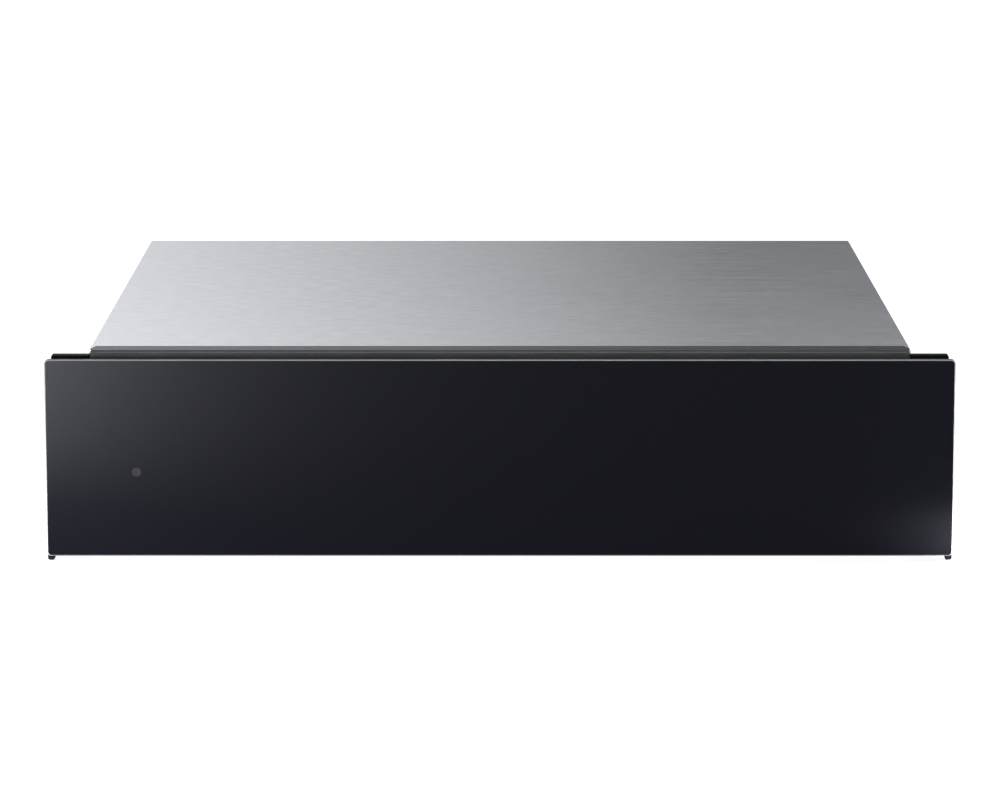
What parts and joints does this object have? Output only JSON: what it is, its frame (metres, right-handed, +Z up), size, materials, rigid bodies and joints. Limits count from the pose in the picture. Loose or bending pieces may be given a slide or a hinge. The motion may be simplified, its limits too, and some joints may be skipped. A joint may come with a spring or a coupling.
{
  "type": "warming drawer",
  "caption": "Built-in warming drawer with a handleless black glass front, push latch, ball-bearing slides, heated steel tub and fan.",
  "frame": {"origin": "centre of the whole object's box, at the foot of the feet", "axes": "+X to the right seen from the front, -Y out of the glass front, +Z up"},
  "size_m": [0.595, 0.55, 0.14],
  "materials": {
    "brushed_steel": "brushed",
    "galvanised_steel": "satin",
    "zinc_plated_rail": "satin",
    "polished_steel": "polished",
    "stainless_tub": "satin",
    "black_glass": "gloss",
    "grey_rail": "satin",
    "black_metal": "satin",
    "black_plastic": "matte",
    "grey_lens": "gloss",
    "green_board": "satin",
    "black_rubber": "matte",
    "grey_silicone": "matte",
    "red_silicone": "matte",
    "mineral_wool": "fibrous",
    "white_plastic": "satin",
    "ferrite": "matte",
    "cage_steel": "satin",
    "knob_metal": "satin",
    "fan_metal": "satin",
    "motor_steel": "satin"
  },
  "bodies": {
    "casing": {"base_pan": "galvanised_steel", "side_panel_left": "galvanised_steel", "side_panel_right": "galvanised_steel", "rear_panel": "galvanised_steel", "top_cover": "brushed_steel", "front_rail": "grey_rail", "lower_rail": "black_metal", "mounting_flange_left": "black_metal", "mounting_flange_right": "black_metal", "feet": "black_rubber", "outer_rail_left": "zinc_plated_rail", "outer_rail_right": "zinc_plated_rail", "latch_housing": "black_plastic", "latch_spring": "polished_steel", "terminal_block": "white_plastic", "cord_gland": "black_plastic", "casing_screws": "polished_steel", "casing_rivets": "zinc_plated_rail"},
    "latch_carriage": {"latch_plunger": "white_plastic", "latch_magnet": "ferrite"},
    "drawer": {"glass_front": "black_glass", "front_carrier": "black_plastic", "carrier_back": "galvanised_steel", "side_trim_left": "black_plastic", "side_trim_right": "black_plastic", "light_guide": "grey_lens", "indicator_board": "green_board", "drawer_shell": "galvanised_steel", "tub": "stainless_tub", "anti_slip_mat": "grey_silicone", "heater_mat": "red_silicone", "insulation": "mineral_wool", "thermal_cutout": "white_plastic", "control_ledge": "black_plastic", "selector_switch": "black_plastic", "rear_lid": "galvanised_steel", "fan_stator": "motor_steel", "fan_bracket": "galvanised_steel", "striker_plate": "galvanised_steel", "inner_rail_left": "zinc_plated_rail", "inner_rail_right": "zinc_plated_rail", "drawer_rivets": "zinc_plated_rail", "drawer_screws": "polished_steel"},
    "middle_slide_left": {"mid_rail_left": "zinc_plated_rail"},
    "middle_slide_right": {"mid_rail_right": "zinc_plated_rail"},
    "outer_balls_left": {"outer_cage_left": "cage_steel", "outer_balls_left": "polished_steel"},
    "outer_balls_right": {"outer_cage_right": "cage_steel", "outer_balls_right": "polished_steel"},
    "inner_balls_left": {"inner_cage_left": "cage_steel", "inner_balls_left": "polished_steel"},
    "inner_balls_right": {"inner_cage_right": "cage_steel", "inner_balls_right": "polished_steel"},
    "knob": {"selector_knob": "knob_metal"},
    "fan": {"fan_impeller": "fan_metal", "fan_rotor": "polished_steel"}
  },
  "joints": [
    {"name": "latch_press", "type": "slide", "parent": "casing", "child": "latch_carriage", "axis": [0, -1, 0], "range_m": [-0.003, 0.03], "deforming": ["latch_spring"]},
    {"name": "drawer_slide", "type": "slide", "parent": "latch_carriage", "child": "drawer", "axis": [0, -1, 0], "range_m": [0, 0.41]},
    {"name": "middle_slide_left_run", "type": "slide", "parent": "casing", "child": "middle_slide_left", "axis": [0, -1, 0], "range_m": [0, 0.205]},
    {"name": "outer_balls_left_run", "type": "slide", "parent": "casing", "child": "outer_balls_left", "axis": [0, -1, 0], "range_m": [0, 0.1025]},
    {"name": "inner_balls_left_run", "type": "slide", "parent": "casing", "child": "inner_balls_left", "axis": [0, -1, 0], "range_m": [0, 0.3075]},
    {"name": "middle_slide_right_run", "type": "slide", "parent": "casing", "child": "middle_slide_right", "axis": [0, -1, 0], "range_m": [0, 0.205]},
    {"name": "outer_balls_right_run", "type": "slide", "parent": "casing", "child": "outer_balls_right", "axis": [0, -1, 0], "range_m": [0, 0.1025]},
    {"name": "inner_balls_right_run", "type": "slide", "parent": "casing", "child": "inner_balls_right", "axis": [0, -1, 0], "range_m": [0, 0.3075]},
    {"name": "knob_turn", "type": "hinge", "parent": "drawer", "child": "knob", "pos_m": [-0.19995, -0.2286, 0.12], "axis": [0, 0, -1], "range_deg": [0, 240]},
    {"name": "fan_spin", "type": "hinge", "parent": "drawer", "child": "fan", "pos_m": [0, 0.14, 0.0705], "axis": [0, 1, 0], "continuous": true}
  ],
  "couplings": [
    {"joint": "middle_slide_left_run", "follows": "drawer_slide", "ratio": 0.5},
    {"joint": "outer_balls_left_run", "follows": "drawer_slide", "ratio": 0.25},
    {"joint": "inner_balls_left_run", "follows": "drawer_slide", "ratio": 0.75},
    {"joint": "middle_slide_right_run", "follows": "drawer_slide", "ratio": 0.5},
    {"joint": "outer_balls_right_run", "follows": "drawer_slide", "ratio": 0.25},
    {"joint": "inner_balls_right_run", "follows": "drawer_slide", "ratio": 0.75}
  ]
}
